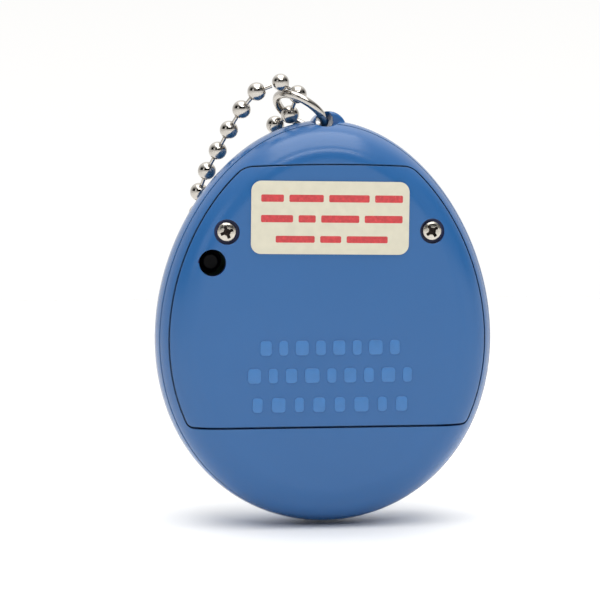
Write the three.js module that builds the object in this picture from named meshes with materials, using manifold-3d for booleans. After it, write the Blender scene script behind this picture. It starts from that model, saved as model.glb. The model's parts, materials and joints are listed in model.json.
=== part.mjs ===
// Egg-shaped electronic pet on a key ring and ball chain.
// Millimetres, +Z up, +X to the right when the battery side (-Y) faces the viewer.
// Everything is laid out about the egg's centre; the group is then moved so that
// the middle of the key-loop eye is the origin.
import * as THREE from 'three';
import { mergeVertices } from 'three/addons/utils/BufferGeometryUtils.js';
import Module from 'manifold-3d';

const wasm = await Module();
wasm.setup();

// ---- driving dimensions: housings ----
const EGG_HALF_WIDTH = 22.0;
const EGG_HALF_HEIGHT = 26.2;
const EGG_TAPER = -0.088;          // narrower above the middle
const EGG_TAPER_2 = -0.006;
const REAR_DEPTH = 6.8;            // widest section to the flat back
const REAR_ROUND = 5.3;            // inset of the flat back from the widest outline
const FRONT_DEPTH = 8.2;           // widest section to the flat front
const FRONT_ROUND = 7.0;
const WALL = 1.5;
const GAP = 0.3;                   // clearance between separate pieces
const SEAT_GAP = 0.05;             // clearance under a screw head or a held part
const PARTING_Y = -2.8;            // joint line between the two housings
const POSTS = [[-9, 17.1], [9, 17.1], [-15.2, -10.2], [15.2, -10.2]];
const POST_R = 2.5;
const POST_SEAT_Y = -3.5;          // floor of the wells the housing screws sit in

// ---- battery cover ----
const COVER_INSET = 1.7;
const COVER_THICK = 1.3;
const FLOOR_THICK = 1.0;           // panel under the battery cover
const LEDGE_Y = -3.9;              // where the cover's skirt stops
const GROOVE = 0.22;               // gap round the battery cover
const COVER_BOTTOM_Z = -13.1;
const COVER_TOP_Z = 20.4;          // crest of the slightly arched top edge
const COVER_TOP_CORNER_Z = 20.05;
const COVER_TOP_CORNER_X = 11.4;
const COVER_TOP_FALL = 0.3;        // drop of the top edge outside its corners
const SCREW_X = 13.2;
const SCREW_Z = 11.95;
const SCREW_HEAD_R = 1.25;
const SCREW_RECESS_R = 1.6;
const SCREW_RECESS_DEPTH = 0.75;
const RESET_X = -15.05;
const RESET_Z = 8.05;
const RESET_R = 1.7;
const LABEL_W = 20.3;
const LABEL_H = 9.3;
const LABEL_Z = 13.7;
const LABEL_TILT = -0.7;           // degrees
const LABEL_THICK = 0.12;
const BAR_ROWS = [[-2.9, 5.2], [-6.45, 6.2], [-10.2, 5.7]];   // height, bar width
const BARS_PER_ROW = 3;
const BAR_H = 1.7;
const BAR_GAP = 1.2;
const BAR_RISE = 0.22;

// ---- key loop, ring and chain ----
const EYE = new THREE.Vector3(0, 0.9, 25.4);
const EYE_R = 1.15;
const EYE_WALL = 0.9;
const EYE_SLANT = 20;              // degrees the eye's bore drops towards the front
const LUG_X = 0.6;                 // the hood stands a little to the right of its bore
const LUG_R = 2.4;
const LUG_TOP_Z = 27.4;
const LUG_ROOT_Z = 22.6;
const LUG_BACK_Y = -1.0;
const LUG_FRONT_Y = 2.9;
const NOTCH_R = 3.0;               // shallow arc cut in the rim behind the lug
const NOTCH_LOW_Z = 25.3;
const RING_R = 3.5;                // middle of the wire
const RING_WIRE_R = 0.55;
const BEAD_R = 1.2;
const BEAD_PITCH = 3.3;
const LINK_R = 0.3;
const LINK_SINK = 0.12;            // how far a link stops short of the next bead
const LEFT_COUNT = 14;
const RIGHT_COUNT = 12;
const CONNECTOR_R = 1.8;
const CONNECTOR_WALL = 0.32;
const CONNECTOR_TAIL = 2.0;        // tube length past the bead it grips
const CONNECTOR_SLOT = 1.0;

// ---- works inside ----
const CELL_R = 5.8;                // button cells 11.6 x 5.4
const CELL_T = 5.4;
const CELL_X = 7.0;
const CELL_Z = -1.0;
const CELL_BACK_Y = -5.45;
const TRAY_WALL = 1.0;
const TRAY_PLAY = 0.35;
const TRAY_FLOOR_Y = -0.2;
const BOARD_Y = 2.0;
const BOARD_T = 1.0;
const BOARD_INSET = 4.6;
const DISPLAY = 19.4;              // side of the square display glass
const DISPLAY_BACK_Y = 5.0;
const WINDOW = 18.0;               // clear part of the screen
const WINDOW_Z = 4.0;
const WINDOW_CORNER = 2.4;
const FRAME_WIDTH = 1.9;
const BUTTON_R = 2.6;
const BUTTON_Z = -13.6;
const BUTTON_SPREAD = 8.6;
const BUTTON_LIFT = 1.1;           // the outer buttons stand higher than the middle one

// ---- fineness ----
const OUTLINE_STEPS = 48;
const ROUND_STEPS = 28;
const SMALL_STEPS = 14;

// ---- materials ----
const finish = (color, roughness, metalness, extra = {}) =>
  new THREE.MeshStandardMaterial({ color, roughness, metalness, ...extra });
const BLUE = () => finish(0x3f76b8, 0.28, 0);
const PALE = () => finish(0xe6e2d6, 0.35, 0);
const NICKEL = () => finish(0xc9ccd0, 0.18, 1);
const STEEL = () => finish(0xa9adb2, 0.32, 1);

const group = new THREE.Group();
group.name = 'virtual_pet_keychain';

// ---- solids ----
const manifoldOf = (positions, faces) => new wasm.Manifold(new wasm.Mesh({
  numProp: 3,
  vertProperties: new Float32Array(positions),
  triVerts: new Uint32Array(faces),
}));
// A solid from a closed surface; a surface that faces inwards is turned round.
const solidOf = (geometry) => {
  const bare = new THREE.BufferGeometry();
  bare.setAttribute('position', geometry.getAttribute('position'));
  if (geometry.index) bare.setIndex(geometry.index);
  const merged = mergeVertices(bare, 1e-5);
  const positions = merged.getAttribute('position').array;
  const faces = Array.from(merged.index.array);
  const solid = manifoldOf(positions, faces);
  if (solid.volume() >= 0) return solid;
  return manifoldOf(positions, faces.reverse());
};
const geometryOf = (solid) => {
  const raw = solid.getMesh();
  const geometry = new THREE.BufferGeometry();
  geometry.setAttribute('position', new THREE.BufferAttribute(new Float32Array(raw.vertProperties), 3));
  geometry.setIndex(new THREE.BufferAttribute(new Uint32Array(raw.triVerts), 1));
  return geometry;
};
const place = (name, shape, material, at = new THREE.Vector3()) => {
  const geometry = shape.isBufferGeometry ? shape : geometryOf(shape);
  geometry.computeVertexNormals();
  const mesh = new THREE.Mesh(geometry, material);
  mesh.name = name;
  mesh.position.copy(at);
  group.add(mesh);
};

// Outline of the egg seen from the back, moved in by `inset`.
const eggPoint = (angle, inset) => {
  const s = Math.sin(angle);
  const taper = 1 + EGG_TAPER * s + EGG_TAPER_2 * s * s;
  return [(EGG_HALF_WIDTH - inset) * Math.cos(angle) * taper, (EGG_HALF_HEIGHT - inset) * s];
};

// A closed body skinned through egg outlines listed as [inset, y], going towards +Y.
const eggLoft = (stations) => {
  const positions = [];
  const index = [];
  for (const [inset, y] of stations) {
    for (let i = 0; i < OUTLINE_STEPS; i += 1) {
      const [x, z] = eggPoint((i / OUTLINE_STEPS) * 2 * Math.PI, inset);
      positions.push(x, y, z);
    }
  }
  for (let row = 0; row < stations.length - 1; row += 1) {
    for (let i = 0; i < OUTLINE_STEPS; i += 1) {
      const next = (i + 1) % OUTLINE_STEPS;
      const a = row * OUTLINE_STEPS + i;
      const b = row * OUTLINE_STEPS + next;
      index.push(a, a + OUTLINE_STEPS, b, b, a + OUTLINE_STEPS, b + OUTLINE_STEPS);
    }
  }
  const capAt = (row, last) => {
    const centre = positions.length / 3;
    positions.push(0, stations[row][1], 0);
    for (let i = 0; i < OUTLINE_STEPS; i += 1) {
      const a = row * OUTLINE_STEPS + i;
      const b = row * OUTLINE_STEPS + ((i + 1) % OUTLINE_STEPS);
      if (last) index.push(centre, b, a);
      else index.push(centre, a, b);
    }
  };
  capAt(0, false);
  capAt(stations.length - 1, true);
  const geometry = new THREE.BufferGeometry();
  geometry.setAttribute('position', new THREE.Float32BufferAttribute(positions, 3));
  geometry.setIndex(index);
  return solidOf(geometry);
};

// Quarter-ellipse shoulder: how far the surface has moved in at depth y. A skin
// moves the surface inwards and rounds it a little tighter.
const shoulderInset = (y, depth, round, skin) => {
  const rise = Math.sqrt(Math.max(0, 1 - (y / (depth - skin)) ** 2));
  return skin + (round - skin * 0.4) * (1 - rise);
};
const rearInset = (y, skin = 0) => shoulderInset(y, REAR_DEPTH, REAR_ROUND, skin);
const frontInset = (y, skin = 0) => shoulderInset(y, FRONT_DEPTH, FRONT_ROUND, skin);
const shoulderStations = (fromY, toY, reach, insetAt, steps) => {
  const from = Math.asin(Math.max(-1, Math.min(1, fromY / reach)));
  const to = Math.asin(Math.max(-1, Math.min(1, toY / reach)));
  const list = [];
  for (let i = 0; i <= steps; i += 1) {
    const y = reach * Math.sin(from + ((to - from) * i) / steps);
    list.push([insetAt(y), y]);
  }
  return list;
};

// A flat outline in the X-Z plane, pushed from yBack to yFront.
const pushed = (shape, yBack, yFront, curveSegments) => {
  const geometry = new THREE.ExtrudeGeometry(shape, {
    depth: yFront - yBack, bevelEnabled: false, curveSegments,
  });
  geometry.rotateX(Math.PI / 2);
  geometry.translate(0, yFront, 0);
  return geometry;
};
// Rounded rectangle in the X-Z plane, turned by `turn` degrees.
const slab = (width, height, radius, yBack, yFront, x = 0, z = 0, turn = 0) => {
  const w = width / 2;
  const h = height / 2;
  const shape = new THREE.Shape();
  shape.moveTo(-w + radius, -h);
  shape.lineTo(w - radius, -h);
  shape.absarc(w - radius, -h + radius, radius, -Math.PI / 2, 0);
  shape.lineTo(w, h - radius);
  shape.absarc(w - radius, h - radius, radius, 0, Math.PI / 2);
  shape.lineTo(-w + radius, h);
  shape.absarc(-w + radius, h - radius, radius, Math.PI / 2, Math.PI);
  shape.lineTo(-w, -h + radius);
  shape.absarc(-w + radius, -h + radius, radius, Math.PI, 1.5 * Math.PI);
  const geometry = pushed(shape, yBack, yFront, 3);
  geometry.rotateY(THREE.MathUtils.degToRad(-turn));
  geometry.translate(x, 0, z);
  return solidOf(geometry);
};
const box = (x0, x1, y0, y1, z0, z1) => {
  const geometry = new THREE.BoxGeometry(x1 - x0, y1 - y0, z1 - z0);
  geometry.translate((x0 + x1) / 2, (y0 + y1) / 2, (z0 + z1) / 2);
  return solidOf(geometry);
};
// Turned part with its axis along Y; profile is [radius, y] from axis to axis.
const turned = (profile, x, z, segments = ROUND_STEPS) => {
  const points = profile.map(([r, y]) => new THREE.Vector2(r, y));
  const geometry = new THREE.LatheGeometry(points, segments);
  geometry.translate(x, 0, z);
  return solidOf(geometry);
};
const disc = (radius, yBack, yFront, x, z, segments = ROUND_STEPS) =>
  turned([[0, yBack], [radius, yBack], [radius, yFront], [0, yFront]], x, z, segments);
// Plus-shaped driver recess, `half` from middle to tip.
const cross = (half, arm, yBack, yFront) =>
  box(-half, half, yBack, yFront, -arm, arm).add(box(-arm, arm, yBack, yFront, -half, half));

// ---- battery-cover region, shared by the cover and the pocket it drops into ----
const coverPrism = (grow, yBack, yFront) => {
  const outline = eggLoft([[COVER_INSET - grow, yBack], [COVER_INSET - grow, yFront]]);
  const wide = EGG_HALF_WIDTH + 2;
  const low = COVER_BOTTOM_Z - grow;
  const cornerX = COVER_TOP_CORNER_X + grow;
  const cornerZ = COVER_TOP_CORNER_Z + grow;
  const crestZ = 2 * COVER_TOP_Z - COVER_TOP_CORNER_Z + grow;
  const shape = new THREE.Shape();
  shape.moveTo(-wide, low);
  shape.lineTo(wide, low);
  shape.lineTo(wide, cornerZ - COVER_TOP_FALL);
  shape.lineTo(cornerX, cornerZ);
  shape.quadraticCurveTo(0, crestZ, -cornerX, cornerZ);
  shape.lineTo(-wide, cornerZ - COVER_TOP_FALL);
  shape.closePath();
  return outline.intersect(solidOf(pushed(shape, yBack, yFront, 10)));
};

// ---- housing blanks ----
const rearEdgeY = PARTING_Y - GAP / 2;
const frontEdgeY = PARTING_Y + GAP / 2;
const rearOuter = eggLoft(shoulderStations(-REAR_DEPTH, rearEdgeY, REAR_DEPTH, (y) => rearInset(y), 7));
const rearInner = eggLoft(shoulderStations(
  -(REAR_DEPTH - WALL), PARTING_Y, REAR_DEPTH - WALL, (y) => rearInset(y, WALL), 3));
const frontOuter = eggLoft([
  ...shoulderStations(frontEdgeY, 0, REAR_DEPTH, (y) => rearInset(y), 2),
  ...shoulderStations(0, FRONT_DEPTH, FRONT_DEPTH, (y) => frontInset(y), 7).slice(1),
]);
const frontInner = eggLoft([
  [rearInset(PARTING_Y, WALL), PARTING_Y],
  ...shoulderStations(0, FRONT_DEPTH - WALL, FRONT_DEPTH - WALL, (y) => frontInset(y, WALL), 4),
]);
// What is left of the rear form once a skin of the given thickness is peeled off it.
const rearCore = (skin) => eggLoft(
  shoulderStations(-(REAR_DEPTH - skin), 0, REAR_DEPTH - skin, (y) => rearInset(y, skin), 4));

// ---- key ring: the wire passes through the eye along ringAlong, and the ring
// leans over to the left along ringAcross ----
const ringAcross = new THREE.Vector3(-0.83, 0, 0.558).normalize();
const ringAlong = new THREE.Vector3(-0.12, 0.92, -0.33);
ringAlong.addScaledVector(ringAcross, -ringAlong.dot(ringAcross)).normalize();
const ringNormal = new THREE.Vector3().crossVectors(ringAcross, ringAlong);
// The ring hanging in the eye, swung up by `swing` degrees.
const ringSolid = (wireRadius, swing, around, along) => {
  const geometry = new THREE.TorusGeometry(RING_R, wireRadius, around, along);
  geometry.translate(RING_R, 0, 0);
  geometry.applyMatrix4(new THREE.Matrix4().makeBasis(ringAcross, ringAlong, ringNormal));
  geometry.applyMatrix4(new THREE.Matrix4().makeRotationAxis(ringAlong, THREE.MathUtils.degToRad(swing)));
  return solidOf(geometry);
};

// ---- key loop: a half-round hood on the rim of the front housing, bored through ----
const eyeRod = (radius, length) => {
  const geometry = new THREE.CylinderGeometry(radius, radius, length, 24);
  geometry.rotateX(THREE.MathUtils.degToRad(-EYE_SLANT));
  geometry.translate(EYE.x, EYE.y, EYE.z);
  return solidOf(geometry);
};
const lugAxisZ = LUG_TOP_Z - LUG_R;
const lugBackEdgeY = LUG_BACK_Y + 0.4;
const lugFrontEdgeY = LUG_FRONT_Y - 0.7;
const lugBlank = turned([
  [0, LUG_BACK_Y], [LUG_R - 0.5, LUG_BACK_Y], [LUG_R, lugBackEdgeY],
  [LUG_R, lugFrontEdgeY], [LUG_R - 0.8, LUG_FRONT_Y], [0, LUG_FRONT_Y],
], LUG_X, lugAxisZ, 24).add(
  box(LUG_X - LUG_R, LUG_X + LUG_R, lugBackEdgeY, lugFrontEdgeY, LUG_ROOT_Z, lugAxisZ));
const rimNotch = (yFront) => disc(NOTCH_R, -REAR_DEPTH - 1, yFront, 0, NOTCH_LOW_Z + NOTCH_R, 32);

// ---- front housing ----
const windowSolid = (grow, yBack, yFront) =>
  slab(WINDOW + 2 * grow, WINDOW + 2 * grow, WINDOW_CORNER + grow * 0.5, yBack, yFront, 0, WINDOW_Z);
const buttonX = [-BUTTON_SPREAD, 0, BUTTON_SPREAD];
const buttonZ = [BUTTON_Z + BUTTON_LIFT, BUTTON_Z, BUTTON_Z + BUTTON_LIFT];

let frontShell = frontOuter.subtract(frontInner);
frontShell = frontShell.add(lugBlank.subtract(frontInner));
frontShell = frontShell.add(eyeRod(EYE_R + EYE_WALL, 9).intersect(frontOuter));
frontShell = frontShell.subtract(windowSolid(FRAME_WIDTH + GAP, FRONT_DEPTH - 2.4, FRONT_DEPTH + 1));
for (let i = 0; i < buttonX.length; i += 1) {
  frontShell = frontShell.subtract(disc(BUTTON_R + GAP, 0, FRONT_DEPTH + 1, buttonX[i], buttonZ[i]));
}
for (const [x, z] of POSTS) {
  const post = disc(1.9, -2.2, FRONT_DEPTH - WALL + 0.4, x, z, SMALL_STEPS);
  frontShell = frontShell.add(post.intersect(frontOuter));
  frontShell = frontShell.subtract(disc(0.9, -3, 3.6, x, z, 12));
}
frontShell = frontShell.subtract(eyeRod(EYE_R, 14));
frontShell = frontShell.subtract(rimNotch(LUG_BACK_Y - 0.02));
// Room for the ring's wire, lying as it rests and swung a little way up.
for (const swing of [0, 18]) {
  const sweep = ringSolid(RING_WIRE_R + 0.4, swing, 6, 20);
  frontShell = frontShell.subtract(sweep.translate(EYE.x, EYE.y, EYE.z));
}
place('front_shell', frontShell, BLUE());

// ---- rear housing: pocket for the cover, cell trays, screw bosses, reset hole ----
const coverFloorY = -REAR_DEPTH + COVER_THICK + GAP / 2;
const floorOuter = rearCore(COVER_THICK + GAP / 2);
const floorInner = rearCore(COVER_THICK + GAP / 2 + FLOOR_THICK);
const pocket = coverPrism(GROOVE, -REAR_DEPTH - 1, LEDGE_Y).subtract(floorOuter);
const floorPanel = floorOuter.subtract(floorInner)
  .intersect(coverPrism(1.2, -REAR_DEPTH, rearEdgeY)).intersect(rearOuter);
let rearShell = rearOuter.subtract(rearInner).add(floorPanel).subtract(pocket);
const cellX = [-CELL_X, CELL_X];
for (const x of cellX) {
  const trayBackY = TRAY_FLOOR_Y + 0.9;
  const behindFloor = disc(CELL_R + TRAY_WALL, PARTING_Y, trayBackY, x, CELL_Z, 26);
  const tray = disc(CELL_R + TRAY_WALL, coverFloorY, trayBackY, x, CELL_Z, 26);
  rearShell = rearShell.add(tray.intersect(floorOuter.add(behindFloor)));
}
for (const x of cellX) {
  rearShell = rearShell.subtract(disc(CELL_R + TRAY_PLAY, -REAR_DEPTH - 1, TRAY_FLOOR_Y, x, CELL_Z, 26));
}
for (const x of [-SCREW_X, SCREW_X]) {
  const boss = disc(2.0, coverFloorY, -1.6, x, SCREW_Z, 20);
  rearShell = rearShell.add(boss.intersect(rearCore(COVER_THICK + GAP / 2)));
  rearShell = rearShell.subtract(disc(0.85, -REAR_DEPTH, -2.2, x, SCREW_Z, 16));
}
rearShell = rearShell.subtract(disc(RESET_R + 0.35, -REAR_DEPTH, 0, RESET_X, RESET_Z, 24));
for (const [x, z] of POSTS) {
  const post = disc(POST_R, coverFloorY, PARTING_Y - SEAT_GAP, x, z, SMALL_STEPS);
  rearShell = rearShell.add(post.intersect(floorOuter));
  rearShell = rearShell.subtract(disc(1.05, -REAR_DEPTH - 1, 0, x, z, 12));
  rearShell = rearShell.subtract(disc(1.85, -REAR_DEPTH - 1, POST_SEAT_Y, x, z, SMALL_STEPS));
}
rearShell = rearShell.subtract(rimNotch(0));
place('rear_shell', rearShell, BLUE());

// ---- battery cover with screw seats, reset hole and raised blank bars ----
const screwSeatY = -REAR_DEPTH + SCREW_RECESS_DEPTH;
let cover = rearOuter.subtract(rearCore(COVER_THICK));
cover = cover.intersect(coverPrism(0, -REAR_DEPTH - 1, LEDGE_Y - GAP / 2));
for (const x of [-SCREW_X, SCREW_X]) {
  cover = cover.subtract(disc(SCREW_RECESS_R, -REAR_DEPTH - 1, screwSeatY, x, SCREW_Z));
  cover = cover.subtract(disc(0.95, -REAR_DEPTH - 1, 0, x, SCREW_Z, 20));
}
cover = cover.subtract(disc(RESET_R, -REAR_DEPTH - 1, 0, RESET_X, RESET_Z));
for (const [z, width] of BAR_ROWS) {
  for (let i = 0; i < BARS_PER_ROW; i += 1) {
    const x = (i - (BARS_PER_ROW - 1) / 2) * (width + BAR_GAP);
    cover = cover.add(slab(width, BAR_H, 0.5, -REAR_DEPTH - BAR_RISE, -REAR_DEPTH + 0.2, x, z));
  }
}
place('battery_cover', cover, BLUE());
const labelFaceY = -REAR_DEPTH - 0.01;
place('back_label',
  slab(LABEL_W, LABEL_H, 1.3, labelFaceY - LABEL_THICK, labelFaceY, 0, LABEL_Z, LABEL_TILT),
  finish(0xdfd6be, 0.55, 0));

// ---- cover screws: low heads with a cross recess, left at different angles ----
for (const [name, x, turn] of [['cover_screw_left', -SCREW_X, 20], ['cover_screw_right', SCREW_X, 35]]) {
  const seat = screwSeatY - 0.02;
  const screw = turned([
    [0, seat - 0.62], [SCREW_HEAD_R - 0.35, seat - 0.58], [SCREW_HEAD_R, seat - 0.3],
    [SCREW_HEAD_R, seat], [0.7, seat], [0.7, seat + 2.9], [0.25, seat + 3.5], [0, seat + 3.5],
  ], 0, 0, 16).subtract(cross(0.75, 0.18, seat - 1, seat - 0.2));
  const geometry = geometryOf(screw);
  geometry.rotateY(THREE.MathUtils.degToRad(turn));
  place(name, geometry, NICKEL(), new THREE.Vector3(x, 0, SCREW_Z));
}

// ---- housing screws, hidden under the cover ----
POSTS.forEach(([x, z], i) => {
  const seat = POST_SEAT_Y - SEAT_GAP;
  const screw = turned([
    [0, seat - 0.7], [1.2, seat - 0.6], [1.6, seat - 0.2], [1.6, seat],
    [0.75, seat], [0.75, seat + 5.2], [0.25, seat + 5.7], [0, seat + 5.7],
  ], 0, 0, 12).subtract(cross(0.85, 0.2, seat - 1, seat - 0.3));
  place(`housing_screw_${i + 1}`, screw, STEEL(), new THREE.Vector3(x, 0, z));
});

// ---- reset button on its board switch, well down in its hole ----
const boardBackY = BOARD_Y - 0.6;
place('reset_button', turned([
  [0, -3.4], [0.9, -3.4], [1.2, -3.1], [1.2, 0.6], [1.7, 0.6], [1.7, boardBackY], [0, boardBackY],
], RESET_X, RESET_Z, 20), finish(0x16171b, 0.5, 0));

// ---- power: two button cells with the insulating step round the smaller pole ----
cellX.forEach((x, i) => {
  const back = CELL_BACK_Y;
  const top = CELL_BACK_Y + CELL_T - 0.25;
  place(`battery_${i + 1}`, turned([
    [0, back], [CELL_R - 1.3, back], [CELL_R - 1.2, back + 0.35], [CELL_R - 0.35, back + 0.4],
    [CELL_R, back + 0.8], [CELL_R, top - 0.25], [CELL_R - 0.3, top], [0, top],
  ], x, CELL_Z, 24), finish(0xd4d6d8, 0.2, 1));
});

// ---- board, chip, sounder, display and its contact strip ----
let board = eggLoft([[BOARD_INSET, BOARD_Y], [BOARD_INSET, BOARD_Y + BOARD_T]]);
for (const [x, z] of POSTS) board = board.subtract(disc(2.3, 0, 5, x, z, 20));
board = board.subtract(box(-6, 6, 0, 5, 19.2, 26));
place('circuit_board', board, finish(0x2f6b3a, 0.5, 0));
const chipFaceY = BOARD_Y - 0.02;
place('chip_blob', turned([
  [0, BOARD_Y - 1.25], [1.6, BOARD_Y - 1.1], [2.8, BOARD_Y - 0.5], [3.1, chipFaceY], [0, chipFaceY],
], 0, 8.6, 24), finish(0x111214, 0.35, 0));
const sounderFaceY = BOARD_Y - SEAT_GAP;
place('sound_disc', turned([
  [0, BOARD_Y - 1.5], [4.2, BOARD_Y - 1.5], [4.2, BOARD_Y - 0.9],
  [3.2, BOARD_Y - 0.9], [3.2, sounderFaceY], [0, sounderFaceY],
], 0, -13.2), finish(0xc9a24b, 0.35, 1));
place('lcd_panel', slab(DISPLAY, DISPLAY, 0.4, DISPLAY_BACK_Y, DISPLAY_BACK_Y + 1.1, 0, WINDOW_Z),
  finish(0x8f9a84, 0.3, 0));
const boardFrontY = BOARD_Y + BOARD_T;
place('contact_strip',
  box(-9.5, 9.5, boardFrontY + 0.02, DISPLAY_BACK_Y - 0.02, WINDOW_Z - 10.3, WINDOW_Z - 8.3),
  finish(0x33343a, 0.8, 0));
place('screen_frame', windowSolid(FRAME_WIDTH, FRONT_DEPTH - 2.0, FRONT_DEPTH + 0.3)
  .subtract(windowSolid(0.1, FRONT_DEPTH - 3, FRONT_DEPTH + 1)), PALE());
place('screen_lens', windowSolid(-0.2, FRONT_DEPTH - 1.7, FRONT_DEPTH - 0.5),
  finish(0xdfe7e6, 0.05, 0, { transparent: true, opacity: 0.35 }));

// ---- three play buttons on one rubber pad ----
const padFrontY = boardFrontY + 1.1;
place('button_pad',
  slab(BUTTON_SPREAD * 2 + 5.4, 4.6, 1.2, boardFrontY + 0.3, padFrontY, 0, BUTTON_Z + 0.7),
  finish(0x9a9ca0, 0.8, 0));
['button_left', 'button_middle', 'button_right'].forEach((name, i) => {
  const flangeY = padFrontY + 1.1;
  place(name, turned([
    [0, flangeY], [BUTTON_R + 0.8, flangeY], [BUTTON_R + 0.8, flangeY + 0.6], [BUTTON_R, flangeY + 0.6],
    [BUTTON_R, FRONT_DEPTH + 0.55], [BUTTON_R - 0.5, FRONT_DEPTH + 1.05], [0, FRONT_DEPTH + 1.2],
  ], 0, 0), PALE(), new THREE.Vector3(buttonX[i], 0, buttonZ[i]));
});

place('jump_ring', ringSolid(RING_WIRE_R, 0, 8, 30), NICKEL(), EYE.clone());

// ---- ball chain: beads at even steps along two strands that start in the ring ----
const strandStart = [-3.35, 0.25, 29.5];
const strandLeft = [
  strandStart, [-5.7, -1.4, 31.0], [-8.7, -1.1, 29.9], [-10.6, 0.5, 27.6], [-13.45, 3.1, 22.3],
  [-15.7, 6.1, 16.9], [-15.5, 9.3, 10.9], [-14.9, 10.6, 6.0], [-14.9, 10.6, -30],
];
const strandRight = [
  strandStart, [-4.05, 2.05, 27.0], [-5.75, 4.55, 25.65], [-5.4, 7.25, 23.8], [-6.0, 8.95, 21.1],
  [-6.3, 9.9, 17.8], [-6.6, 10.6, 12.0], [-6.7, 10.6, -30],
];
const beadsAlong = (controls, count) => {
  const points = controls.map((p) => new THREE.Vector3(...p));
  const fine = new THREE.CatmullRomCurve3(points, false, 'centripetal').getPoints(4000);
  const beads = [fine[0]];
  for (const point of fine) {
    const step = point.distanceTo(beads[beads.length - 1]);
    if (beads.length <= count && step >= BEAD_PITCH) beads.push(point);
  }
  return beads;
};
// A ball with the stiff link that joins it to the ball before it.
const bead = (name, at, previous) => {
  let solid = solidOf(new THREE.SphereGeometry(BEAD_R, 12, 8));
  if (previous) {
    const towards = previous.clone().sub(at);
    const reach = towards.length() - BEAD_R - LINK_SINK;
    const link = new THREE.CylinderGeometry(LINK_R, LINK_R, reach, 6);
    link.translate(0, reach / 2, 0);
    const up = new THREE.Vector3(0, 1, 0);
    link.applyQuaternion(new THREE.Quaternion().setFromUnitVectors(up, towards.normalize()));
    solid = solid.add(solidOf(link));
  }
  place(name, solid, NICKEL(), at.clone());
};
const leftBeads = beadsAlong(strandLeft, LEFT_COUNT);
const rightBeads = beadsAlong(strandRight, RIGHT_COUNT);
const two = (n) => String(n).padStart(2, '0');
bead('chain_bead_00', leftBeads[0], null);
for (let i = 1; i <= LEFT_COUNT; i += 1) bead(`chain_left_${two(i)}`, leftBeads[i], leftBeads[i - 1]);
for (let i = 1; i <= RIGHT_COUNT; i += 1) bead(`chain_right_${two(i)}`, rightBeads[i], rightBeads[i - 1]);

// ---- connector: a slotted tube gripping the last left bead; its open mouth
// faces the last right bead ----
const tailLeft = leftBeads[LEFT_COUNT];
const tailRight = rightBeads[RIGHT_COUNT];
const mouthX = tailRight.x - tailLeft.x - BEAD_R - 0.35;
const tube = (radius, x0, x1) => {
  const geometry = new THREE.CylinderGeometry(radius, radius, x1 - x0, 20);
  geometry.rotateZ(Math.PI / 2);
  geometry.translate((x0 + x1) / 2, 0, 0);
  return solidOf(geometry);
};
const connector = tube(CONNECTOR_R, -CONNECTOR_TAIL, mouthX)
  .subtract(tube(CONNECTOR_R - CONNECTOR_WALL, -CONNECTOR_TAIL - 1, mouthX + 1))
  .subtract(box(-CONNECTOR_TAIL - 1, 0.7, -CONNECTOR_SLOT / 2, CONNECTOR_SLOT / 2, 0, CONNECTOR_R + 1));
place('chain_connector', connector, NICKEL(), tailLeft.clone());

group.position.set(-EYE.x, -EYE.y, -EYE.z);
export default group;
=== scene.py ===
import bpy
import bmesh
import json
import math
from mathutils import Matrix, Quaternion, Vector


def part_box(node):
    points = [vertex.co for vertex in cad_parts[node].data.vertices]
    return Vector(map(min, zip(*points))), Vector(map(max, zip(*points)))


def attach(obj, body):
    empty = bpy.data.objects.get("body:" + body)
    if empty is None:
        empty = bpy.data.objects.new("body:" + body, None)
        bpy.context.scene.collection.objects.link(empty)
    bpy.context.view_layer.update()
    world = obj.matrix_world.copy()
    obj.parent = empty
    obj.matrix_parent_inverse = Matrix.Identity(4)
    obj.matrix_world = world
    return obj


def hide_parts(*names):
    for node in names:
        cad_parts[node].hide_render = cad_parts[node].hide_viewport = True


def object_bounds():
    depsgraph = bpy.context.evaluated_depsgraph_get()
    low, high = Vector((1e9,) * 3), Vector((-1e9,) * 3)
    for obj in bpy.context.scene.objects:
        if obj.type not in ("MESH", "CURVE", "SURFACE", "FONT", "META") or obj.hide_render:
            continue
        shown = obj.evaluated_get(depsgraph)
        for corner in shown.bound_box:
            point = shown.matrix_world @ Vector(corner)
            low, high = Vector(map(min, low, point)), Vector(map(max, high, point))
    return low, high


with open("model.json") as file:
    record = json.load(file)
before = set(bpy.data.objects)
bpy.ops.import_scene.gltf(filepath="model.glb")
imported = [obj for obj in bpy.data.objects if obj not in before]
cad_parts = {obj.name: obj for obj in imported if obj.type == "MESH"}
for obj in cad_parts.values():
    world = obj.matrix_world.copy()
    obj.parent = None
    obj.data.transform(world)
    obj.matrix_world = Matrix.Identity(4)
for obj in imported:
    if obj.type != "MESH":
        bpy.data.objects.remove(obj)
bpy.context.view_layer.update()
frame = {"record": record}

# ------------------------------------------------------------------ sizes, mm
# Laid out about the egg's centre as the CAD is, then moved to the row frame,
# whose origin is the middle of the key-loop eye.
MM = 0.001
EYE = Vector((0.0, 0.9, 25.4))
EYE_R = 1.15
EYE_TILT = -20                   # degrees about X that the eye's bore leans
EGG_HALF_W, EGG_HALF_H = 22.0, 26.2
EGG_TAPER, EGG_BULGE = -0.088, -0.006
EGG_STEPS = 192
REAR, REAR_IN = 6.8, 5.3         # depth of the rear shoulder, and how far it closes in
FRONT, FRONT_IN = 8.2, 7.0
WALL, GAP = 1.5, 0.3
PART_Y = -2.8                    # parting line of the two housings
HAIR = 0.04                      # the visual skin sits this far inside the CAD skin

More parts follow.
